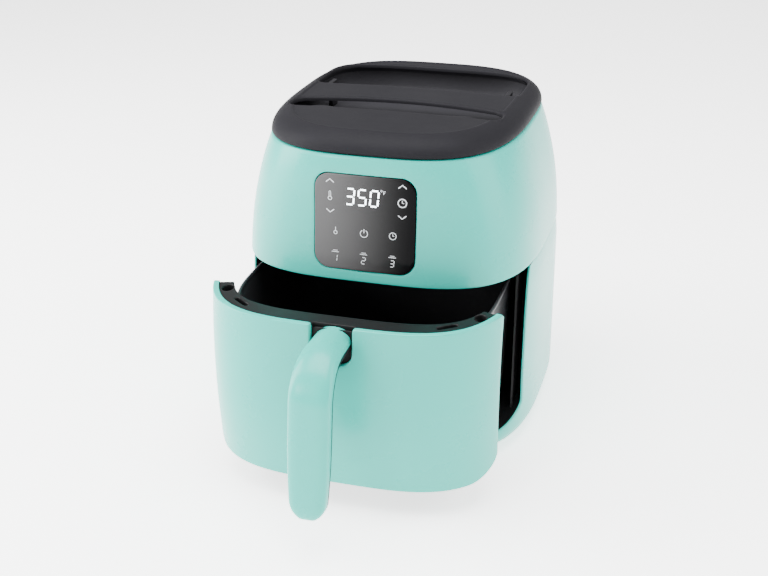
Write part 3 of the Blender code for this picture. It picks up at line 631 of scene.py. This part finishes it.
def rim_rings():
    """The cover's rolled rim, from inside its lower edge up to the deck."""
    rise = DECK_Z - SEAM_Z
    levels = [(0.0030, 0.0030), (0.0012, 0.0020), (0.0009, 0.0006), (0.0012, -0.0002)]
    last = math.radians(66)
    for t in np.linspace(0.06, 1.0, 22):
        up = (math.sin(t * last) / math.sin(last)) ** 1.12
        back = ((1 - math.cos(t * last)) / (1 - math.cos(last))) ** 1.20
        levels.append((0.0010 + (rise - 0.0010) * up, -0.0005 + 0.0138 * back))
    levels += [(rise - 0.0001, 0.0140), (rise - 0.0006, 0.0146)]
    return [housing_ring(SEAM_Z, inset, SEAM_Z + height) for height, inset in levels]


def top_cover():
    """Dark cover: rolled rim, deck with finger slot, carry bar and pocket."""
    rows = rim_rings()
    rim = rows[-1]
    centre = np.array([0.0, CENTRE_Y - 0.020, 0.0])
    for share in np.linspace(1, 0.004, 112)[1:]:
        ring = centre + (rim - centre) * share
        ring[:, 2] = deck_height(ring[:, 0], ring[:, 1])
        rows.append(ring)
    data = sheet(rows, True, deck_distance, lambda x, y: (x, y, float(deck_height(x, y))), axes=(0, 1),
                 roll=0.0018, skirt=0.0014)
    piece("top_cover_skin", data, "slate_plastic", "housing", ["top_cover"], angle=50)


def recess_tub():
    """Tub under the bar, with a filleted floor."""
    depth_of_floor = 0.0220
    profile = ((0.0034, 0.0036), (0.0076, 0.0004), (0.0120, 0.0006), (0.0180, 0.0016), (0.0206, 0.0034),
               (0.0218, 0.0060), (depth_of_floor, 0.0100))
    rows = []
    for depth, inset in profile:
        half, front, rear = 0.0835 - inset, 0.0930 - inset, 0.0640 - inset
        rows.append(plan_ring(half, front, rear, -0.010, 6.0, 4.2, DECK_Z - depth, 240))
    edge = rows[-1]
    centre = np.array([0.0, CENTRE_Y - 0.010, DECK_Z - depth_of_floor])
    rows += [centre + (edge - centre) * share for share in (0.8, 0.5, 0.2, 0.01)]
    piece("recess_tub", sheet(rows, True), "slate_plastic", "housing", ["recess_tray"], finish=TUB)


def pocket_posts():
    """Short posts that carry the ends of the bar."""
    half = 0.0018
    for name, x in (("pocket_post_left", -0.0700), ("pocket_post_right", 0.0700)):
        low = (x - half, CENTRE_Y - 0.0065, DECK_Z - 0.0215)
        high = (x + half, CENTRE_Y + 0.0060, DECK_Z - 0.0020)
        bevelled(piece(name, box_data(low, high), "slate_plastic", "housing"), 0.0008)


def rear_grille():
    """Louvre plate on the back, with slanted blades behind its slots."""
    half, low, high, spare = 0.034, 0.165, 0.205, 0.001
    bases = [low + 0.006 + 0.007 * i for i in range(5)]
    xs = np.linspace(-half - spare, half + spare, 72)
    rows = grid(on_rear(-GRILLE_PROUD), xs, np.linspace(low - spare, high + spare, 48))

    def outline(x, z):
        plate = -rounded_box(x, z, half, low, high, 0.006)
        for base in bases:
            plate = np.minimum(plate, rounded_box(x, z, half - 0.007, base, base + 0.0034, 0.0016))
        return plate

    data = sheet(rows, False, outline, on_rear(-GRILLE_PROUD), roll=0.0006, skirt=0.0020)
    piece("rear_grille_skin", data, "slate_plastic", "housing", ["rear_grille"])
    blade = ((0.0022, 0.0050), (0.0026, 0.0044), (0.0006, -0.0006), (0.0010, -0.0012))
    for i, base in enumerate(bases):
        rings = []
        for x in np.linspace(-half + 0.006, half - 0.006, 15):
            rings.append([(x, rear_y(x, base, -proud), base + rise) for proud, rise in blade])
        piece(f"louvre_blade_{i + 1}", loft(rings), "slate_plastic", "housing")


def cord_inlet():
    """Ribbed collar that follows the lower back."""
    centre_x, centre_z = 0.055, 0.040
    profile = ((GAP, 0.0088), (0.0012, 0.0088), (0.0018, 0.0082), (0.0026, 0.0082), (0.0032, 0.0074),
               (0.0042, 0.0074), (0.0050, 0.0068), (0.0060, 0.0062), (0.0061, 0.0042), (0.0052, 0.0034),
               (GAP, 0.0034))
    rings = []
    for depth, radius in profile:
        ring = []
        for t in np.linspace(0, 2 * np.pi, 48, endpoint=False):
            x, z = centre_x + radius * math.cos(t), centre_z + radius * math.sin(t)
            ring.append((x, rear_y(x, z) + depth, z))
        rings.append(ring)
    piece("cord_inlet_skin", loft(rings, closed=True), "black_plastic", "housing", ["cord_inlet"])


def feet():
    """Rubber feet with a hollow underneath."""
    profile = ((0.0040, 0.0009), (0.0052, 0.0002), (0.0062, 0.0), (0.0078, 0.0004), (0.0088, 0.0012),
               (0.0094, 0.0024), (0.0095, FOOT_HEIGHT - GAP))
    for i in (1, 2, 3, 4):
        low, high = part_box(f"foot_{i}")
        centre = ((low[0] + high[0]) / 2, (low[1] + high[1]) / 2)
        piece(f"foot_{i}_skin", turned_data(profile, centre), "rubber", "housing", [f"foot_{i}"])


# ---------------------------------------------------------------- drawer
def drawer_front():
    """Front panel that continues the housing's shape, with the notch for the handle."""
    xs = eased(PANEL_HALF + 0.0008, 170, 0.45)
    rows = grid(on_front(), xs, np.linspace(PANEL_BOTTOM - 0.001, PANEL_TOP + 0.001, 84))
    data = sheet(rows, False, panel_distance, on_front(), roll=0.0010, skirt=0.0030)
    piece("drawer_front_skin", data, "aqua_plastic", "drawer", ["drawer_front"], out=DRAWER_OUT)


def drawer_backing():
    """Dark inner shell behind the front panel."""
    half, low, high, spare = PANEL_HALF - 0.003, PANEL_BOTTOM + 0.004, PANEL_TOP - 0.0092, 0.001
    notch_low = PANEL_TOP - NOTCH_DEPTH - 0.001
    xs = np.linspace(-half - spare, half + spare, 130)
    rows = grid(on_front(BACKING_INSET), xs, np.linspace(low - spare, high + spare, 60))

    def outline(x, z):
        panel = -rounded_box(x, z, half, low, high, 0.014)
        notch = rounded_box(x, z, NOTCH_HALF + 0.001, notch_low, PANEL_TOP + 0.04, NOTCH_CORNER)
        return np.minimum(panel, notch)

    data = sheet(rows, False, outline, on_front(BACKING_INSET), roll=0.0008, skirt=-0.0010)
    piece("drawer_backing_skin", data, "black_plastic", "drawer", ["drawer_backing"], out=DRAWER_OUT)


def frame_distance(x, y):
    """Oval holes and short slots near the ends, and the recess for the handle arm."""
    result = rounded_box(x, y, HANDLE_HALF + 0.0009, CENTRE_Y - 0.22, BRACKET_FRONT - GAP, 0.002)
    side = np.abs(x)
    oval = np.hypot((side - 0.0893) / 0.72, (y - CENTRE_Y + 0.1065)) - 0.0056
    result = np.minimum(result, oval)
    turn = math.radians(38)
    dx, dy = side - 0.0715, y - (CENTRE_Y - 0.1255)
    along = dx * math.cos(turn) + dy * math.sin(turn)
    across = -dx * math.sin(turn) + dy * math.cos(turn)
    return np.minimum(result, rounded_box(along, across, 0.0075, -0.0018, 0.0018, 0.0016))


def drawer_frame():
    """Dark moulded crescent between the front panel and the bucket."""
    top, half = PANEL_TOP - 0.0014, PANEL_HALF - 0.0060
    xs = eased(half, 190, 0.35)
    front = np.array([front_y(x, top, 0.0036) for x in xs])
    tip = np.clip((np.abs(xs) - 0.086) / (half - 0.086), 0, 1)
    rear = np.minimum(bucket_front(xs, 0.0010), CENTRE_Y - 0.0935)
    rear = rear - np.minimum(tip * 0.0052, np.maximum(rear - front - 0.0030, 0))
    levels = [(0.0, -0.0072), (0.0, -0.0012), (0.004, -0.0004)]
    levels += [(t, 0.0) for t in np.linspace(0.04, 0.96, 15)]
    levels += [(0.996, -0.0004), (1.0, -0.0012), (1.0, -0.0072)]
    rows = [np.stack([xs, front + (rear - front) * t, np.full_like(xs, top + drop)], 1) for t, drop in levels]
    data = sheet(rows, False, frame_distance, lambda x, y: (x, y, top), axes=(0, 1), roll=0.0007,
                 skirt=0.0050)
    piece("drawer_frame_skin", data, "black_plastic", "drawer", ["drawer_frame"], out=DRAWER_OUT)


def bucket_ring(inset, z):
    """Outline of the bucket, drawn in by inset."""
    half, front, rear = BUCKET_HALF - inset, BUCKET_FRONT - inset, BUCKET_REAR - inset
    return plan_ring(half, front, rear, BUCKET_MIDDLE, 3.8, 4.2, z, 288)


def bucket():
    """Non-stick bucket with a rolled rim and a filleted floor."""
    floor, rim, bead = BUCKET_FLOOR_Z, BUCKET_RIM_Z, 0.0012
    profile = [(0.0130, floor), (0.0090, floor + 0.0005), (0.0064, floor + 0.0022), (0.0046, floor + 0.0060),
               (0.0036, floor + 0.0200), (0.0022, rim - 0.0200), (0.0016, rim - 0.0034)]
    for t in np.linspace(-0.35, 1.15, 12):
        angle = t * math.pi
        profile.append((bead - bead * math.cos(angle), rim - bead + bead * math.sin(angle)))
    profile += [(0.0030, rim - 0.0040), (0.0044, rim - 0.0300), (0.0058, floor + 0.0200),
                (0.0066, floor + 0.0090), (0.0084, floor + 0.0048), (0.0116, floor + 0.0026),
                (0.0150, floor + 0.0020)]
    rows = [bucket_ring(inset, z) for inset, z in profile]
    centre = np.array([0.0, CENTRE_Y + BUCKET_MIDDLE, floor + 0.0020])
    rows += [centre + (rows[-1] - centre) * share for share in (0.9, 0.7, 0.4, 0.1, 0.004)]
    under = np.array([0.0, CENTRE_Y + BUCKET_MIDDLE, floor])
    rows = [under + (rows[0] - under) * share for share in (0.004, 0.5, 0.9)] + rows
    piece("bucket_skin", sheet(rows, True), "nonstick", "drawer", ["bucket"], out=DRAWER_OUT)


def tray_height(x, y):
    """Top of the tray, which falls a little towards its edges."""
    reach = np.maximum(np.abs(x) / 0.083, np.abs(y - CENTRE_Y - BUCKET_MIDDLE) / 0.08)
    return TRAY_Z + 0.0014 - 0.0004 * reach ** 2


def tray_distance(x, y):
    """Tray outline with staggered round holes."""
    pitch, hole, margin = 0.0130, 0.0032, 0.011
    half, front, rear = BUCKET_HALF - TRAY_INSET, BUCKET_FRONT - TRAY_INSET, BUCKET_REAR - TRAY_INSET
    along = y - CENTRE_Y - BUCKET_MIDDLE
    reach = np.where(along < 0, front + BUCKET_MIDDLE, rear - BUCKET_MIDDLE)
    edge = (1 - ((np.abs(x) / half) ** 4 + (np.abs(along) / reach) ** 4) ** 0.25) * 0.085
    row = np.round(along / (pitch * 0.866))
    shifted = x - (row % 2) * pitch / 2
    holes = np.hypot(shifted - np.round(shifted / pitch) * pitch, along - row * pitch * 0.866) - hole
    return np.minimum(edge, np.where(edge > margin, holes, 1.0))


def crisper_tray():
    """Perforated plate with a turned-down rim."""
    xs = np.linspace(-0.0845, 0.0845, 132)
    rows = []
    for y in np.linspace(CENTRE_Y - 0.1200, CENTRE_Y + 0.0420, 126):
        rows.append(np.stack([xs, np.full_like(xs, y), tray_height(xs, y)], 1))
    data = sheet(rows, False, tray_distance, lambda x, y: (x, y, float(tray_height(x, y))), axes=(0, 1),
                 roll=0.0005, skirt=0.0009)
    piece("crisper_tray_skin", data, "nonstick", "crisper", ["crisper_tray"], out=DRAWER_OUT)


def handle_path():
    """Fine centre line of the handle with outward normals, from the bracket to the tip."""
    bend, arm_z, slant, length_down = 0.0265, PANEL_TOP - 0.0120, math.radians(7), 0.0790
    elbow_y = CENTRE_Y - 0.1644
    points = [(y, arm_z) for y in np.linspace(BRACKET_FRONT - GAP, elbow_y, 8)]
    normals = [(0.0, 1.0)] * 8
    for angle in np.linspace(0, math.pi / 2 - slant, 22)[1:]:
        points.append((elbow_y - bend * math.sin(angle), arm_z - bend + bend * math.cos(angle)))
        normals.append((-math.sin(angle), math.cos(angle)))
    last, normal = points[-1], normals[-1]
    for length in np.linspace(0, length_down, 40)[1:]:
        points.append((last[0] - math.sin(slant) * length, last[1] - math.cos(slant) * length))
        normals.append(normal)
    return points, normals


def smooth(value):
    """Eases 0 to 1, and holds outside."""
    value = min(max(value, 0.0), 1.0)
    return value * value * (3 - 2 * value)


def handle_half(name, outer, slot, replaced):
    """One half of the handle, swept along the path with a rounded tip."""
    points, normals = handle_path()
    run = [0.0]
    for (ay, az), (by, bz) in zip(points, points[1:]):
        run.append(run[-1] + math.hypot(by - ay, bz - az))
    side = 1 if outer else -1
    t = np.linspace(0, math.pi, 33)
    rings = []
    for (y, z), (ny, nz), s in zip(points, normals, run):
        tip = math.sqrt(max(1 - (1 - min((run[-1] - s) / 0.0130, 1)) ** 2, 0.0))
        grip = smooth((s - 0.012) / 0.045)
        taper = 0.0022 * min(max((s - 0.085) / 0.05, 0), 1) ** 2
        width = max((HANDLE_HALF * (0.89 + 0.11 * grip) - taper) * tip, 0.0012)
        rise = max((HANDLE_RISE + 0.0016 * (1 - grip)) * tip ** 0.55, 0.0010)
        flank, crown = (1 - 0.40 * grip, 0.95 - 0.45 * grip) if outer else (0.85, 0.8)
        across = width * np.sign(np.cos(t)) * np.abs(np.cos(t)) ** flank
        height = np.concatenate([[0.0], rise * np.sin(t[1:-1]) ** crown, [0.0]])
        shift = side * (height + GAP / 2)
        rings.append(np.stack([across, y + ny * shift, z + nz * shift], 1))
    piece(name, loft(rings), slot, "drawer", replaced, out=DRAWER_OUT, angle=50)


def handle_bracket():
    """Block behind the notch that the handle is screwed to."""
    half = 0.0120
    low = (-half, BRACKET_FRONT, PANEL_TOP - NOTCH_DEPTH + 0.0006)
    high = (half, BRACKET_BACK, PANEL_TOP - 0.0050)
    item = piece("handle_bracket_skin", box_data(low, high), "black_plastic", "drawer", ["handle_bracket"],
                 out=DRAWER_OUT)
    bevelled(item, 0.0012)


def notch_floor():
    """Dark wall seen through the notch, round the handle's arm."""
    half, low, high, inset = 0.0175, PANEL_TOP - NOTCH_DEPTH - 0.0040, PANEL_TOP - 0.0030, 0.0046
    rows = grid(on_front(inset), np.linspace(-half, half, 30), np.linspace(low, high, 26))

    def outline(x, z):
        return -rounded_box(x, z, half - 0.0005, low + 0.0005, high - 0.0004, 0.006)

    data = sheet(rows, False, outline, on_front(inset), roll=0.0005, skirt=0.0003)
    piece("notch_floor", data, "black_plastic", "drawer", out=DRAWER_OUT)


# ---------------------------------------------------------------- marks on the lens
def stroke(points, width, closed=False):
    """Flat ribbon along a line of (x, z) points, draped on the lens."""
    line = [Vector((x, z)) for x, z in points]
    lens = on_front(-LENS_PROUD - 0.00006)
    verts, faces = [], []
    total = len(line)
    for i, p in enumerate(line):
        before = line[(i - 1) % total] if closed or i else p
        after = line[(i + 1) % total] if closed or i < total - 1 else p
        along = (after - before).normalized()
        side = Vector((-along.y, along.x)) * width / 2
        verts += [lens(q.x, q.y) for q in (p + side, p - side)]
    for i in range(total if closed else total - 1):
        a, b = 2 * i, 2 * ((i + 1) % total)
        faces.append((a, b, b + 1, a + 1))
    return verts, faces


def arc(cx, cz, radius, start, end, count=24):
    """Points of a circular arc, in degrees."""
    return [(cx + radius * math.cos(math.radians(t)), cz + radius * math.sin(math.radians(t)))
            for t in np.linspace(start, end, count)]


def merged(parts):
    """Several pieces of mesh data as one."""
    verts, faces = [], []
    for some_verts, some_faces in parts:
        base = len(verts)
        verts += some_verts
        faces += [tuple(base + k for k in face) for face in some_faces]
    return verts, faces


def digit(symbol, cx, cz, width, height, weight):
    """Seven-segment digit that leans a little."""
    w, h, lean, gap = width / 2, height / 2, 0.10, weight * 0.62
    corners = {"a": ((-w, h), (w, h)), "b": ((w, h), (w, 0)), "c": ((w, 0), (w, -h)),
               "d": ((-w, -h), (w, -h)), "e": ((-w, 0), (-w, -h)), "f": ((-w, h), (-w, 0)),
               "g": ((-w, 0), (w, 0))}
    lit = {"0": "abcdef", "1": "bc", "2": "abged", "3": "abgcd", "5": "afgcd"}[symbol]
    parts = []
    for key in lit:
        start, end = (Vector(corner) for corner in corners[key])
        inwards = (end - start).normalized() * gap
        ends = (start + inwards, end - inwards)
        parts.append(stroke([(cx + p.x + lean * p.y, cz + p.y) for p in ends], weight))
    return parts


def chevron(x, z, rise):
    """Arrow head that points up, or down when rise is negative."""
    return stroke([(x - 0.0028, z), (x, z + rise), (x + 0.0028, z)], 0.00070)


def clock(x, z, radius, hand, reach, weight, hand_weight):
    """Clock face with two hands."""
    face = stroke(arc(x, z, radius, 0, 345), weight, True)
    return [face, stroke([(x, z + hand), (x, z), (x + reach, z)], hand_weight)]


def adjust_marks():
    """Arrows for more and less, with a thermometer on the left and a clock on the right."""
    marks = []
    for side in (-1, 1):
        x = side * 0.0256 + 0.0012
        marks += [chevron(x, 0.2146, 0.0023), chevron(x, 0.1953, -0.0023)]
    marks += clock(0.0268, 0.2042, 0.0029, 0.0018, 0.0012, 0.00070, 0.00055)
    x, half = -0.0245, 0.0006
    marks.append(stroke(arc(x, 0.2032, 0.0013, 120, 420), 0.00055, True))
    stem = [(x - half, 0.2044), (x - half, 0.2078), (x, 0.2084), (x + half, 0.2078), (x + half, 0.2044)]
    marks.append(stroke(stem, 0.00045))
    return marks


def degree_mark():
    """Small degree sign and letter beside the digits."""
    left, top = 0.0138, 0.2114
    ring = stroke(arc(0.0122, 0.2116, 0.0006, 0, 330, 12), 0.00035, True)
    stem = stroke([(left, 0.2092), (left, top), (left + 0.0014, top)], 0.00050)
    return [ring, stem, stroke([(left, 0.2103), (left + 0.0010, 0.2103)], 0.00045)]


def key_marks():
    """Icons of the six keys: heat, power and time, and three numbered presets."""
    column = 0.0205
    marks = [stroke(arc(0.0, 0.1800, 0.0026, 120, 420), 0.00050)]
    marks.append(stroke([(0.0, 0.1804), (0.0, 0.1832)], 0.00050))
    marks.append(stroke(arc(-column, 0.1790, 0.0012, 120, 420, 16), 0.00045, True))
    marks.append(stroke([(-column, 0.1800), (-column, 0.1828)], 0.00050))
    marks += clock(column, 0.1803, 0.0024, 0.0014, 0.0010, 0.00045, 0.00042)
    for symbol, x in zip("123", (-column, 0.0, column)):
        marks += digit(symbol, x, 0.1606, 0.0026, 0.0046, 0.00052)
        marks.append(stroke([(x - 0.0026, 0.1650), (x + 0.0026, 0.1650)], 0.00045))
        marks.append(stroke([(x - 0.0016, 0.1661), (x + 0.0016, 0.1661)], 0.00040))
    return marks


def lens_marks():
    """Lit digits and printed icons."""
    lit = []
    for symbol, x in zip("350", (-0.0100, -0.0014, 0.0072)):
        lit += digit(symbol, x, 0.2056, 0.0055, 0.0112, 0.00108)
    piece("lit_digits", merged(lit), "light_module", "housing", finish=LIT)
    marks = adjust_marks() + degree_mark() + key_marks()
    piece("printed_icons", merged(marks), "light_module", "housing", finish=PRINT)


# ---------------------------------------------------------------- stage
def camera():
    """Camera in front, a little to the left and above, as the photographer stood."""
    azimuth, elevation = math.radians(16.15), math.radians(23.94)
    aside, below, away = 0.02724, 0.03680, 0.97742
    right = Vector((math.cos(azimuth), math.sin(azimuth), 0))
    ahead = Vector((-math.sin(azimuth) * math.cos(elevation), math.cos(azimuth) * math.cos(elevation),
                    -math.sin(elevation)))
    up = right.cross(ahead)
    data = bpy.data.cameras.new("camera")
    data.lens = 56.25
    data.sensor_width = 36
    item = bpy.data.objects.new("camera", data)
    basis = Matrix((right, up, -ahead)).transposed().to_4x4()
    basis.translation = Vector((0, CENTRE_Y, 0.1167)) - right * aside - up * below - ahead * away
    item.matrix_world = basis
    bpy.context.scene.collection.objects.link(item)
    bpy.context.scene.camera = item


def area_light(name, place, size, power, height=None):
    """Soft rectangular light aimed at the object."""
    data = bpy.data.lights.new(name, "AREA")
    data.shape = "RECTANGLE"
    data.size = size
    data.size_y = height or size
    data.energy = power
    item = bpy.data.objects.new(name, data)
    item.location = place
    aim = Vector((0, 0.05, 0.12))
    item.rotation_euler = (aim - Vector(place)).to_track_quat("-Z", "Y").to_euler()
    bpy.context.scene.collection.objects.link(item)


def studio():
    """Soft panels left, right and above, a small front light and a white surround."""
    area_light("left_panel", (-1.3, -0.35, 0.75), 1.0, 72, 1.4)
    area_light("right_panel", (1.35, 0.05, 0.70), 1.0, 23, 1.4)
    area_light("top_panel", (0.0, -0.25, 1.5), 1.2, 60)
    area_light("front_key", (-0.80, -1.45, 0.70), 0.40, 11)
    world = bpy.data.worlds.new("studio")
    world.use_nodes = True
    background = world.node_tree.nodes["Background"]
    background.inputs["Color"].default_value = (1, 1, 1, 1)
    background.inputs["Strength"].default_value = 0.8
    bpy.context.scene.world = world


def floor():
    """Plain pale floor, just below the feet."""
    reach, drop = 6.0, 0.0002
    corners = [(-reach, -reach, 0), (reach, -reach, 0), (reach, reach, 0), (-reach, reach, 0)]
    mesh = bpy.data.meshes.new("floor")
    mesh.from_pydata(corners, [], [(0, 1, 2, 3)])
    mesh.materials.append(material("floor", (0.92, 0.92, 0.92), 0.75, grain=60, shade=0.01, wear=0.0,
                                   specular=0.1, glow=2.2))
    item = bpy.data.objects.new("floor", mesh)
    item.location.z = -drop
    bpy.context.scene.collection.objects.link(item)


def dress_frame():
    """Gives every CAD node that stays its slot's finish."""
    slots = {row["node"]: row["material_slot"] for row in frame["record"]["subparts"]}
    for name, item in frame["nodes"].items():
        item.data.materials.clear()
        item.data.materials.append(FINISHES[slots[name]])


def main():
    """Builds every piece, the camera and the stage."""
    dress_frame()
    for build in (base_shell, opening_lining, upper_shell, control_lens, lens_marks, top_cover, recess_tub,
                  pocket_posts, rear_grille, cord_inlet, feet):
        build()
    for build in (drawer_front, drawer_backing, drawer_frame, bucket, crisper_tray):
        build()
    handle_half("handle_shell_skin", True, "aqua_plastic", ["handle_shell"])
    handle_half("handle_back_skin", False, "slate_plastic", ["handle_back"])
    handle_bracket()
    notch_floor()
    camera()
    studio()
    floor()


main()
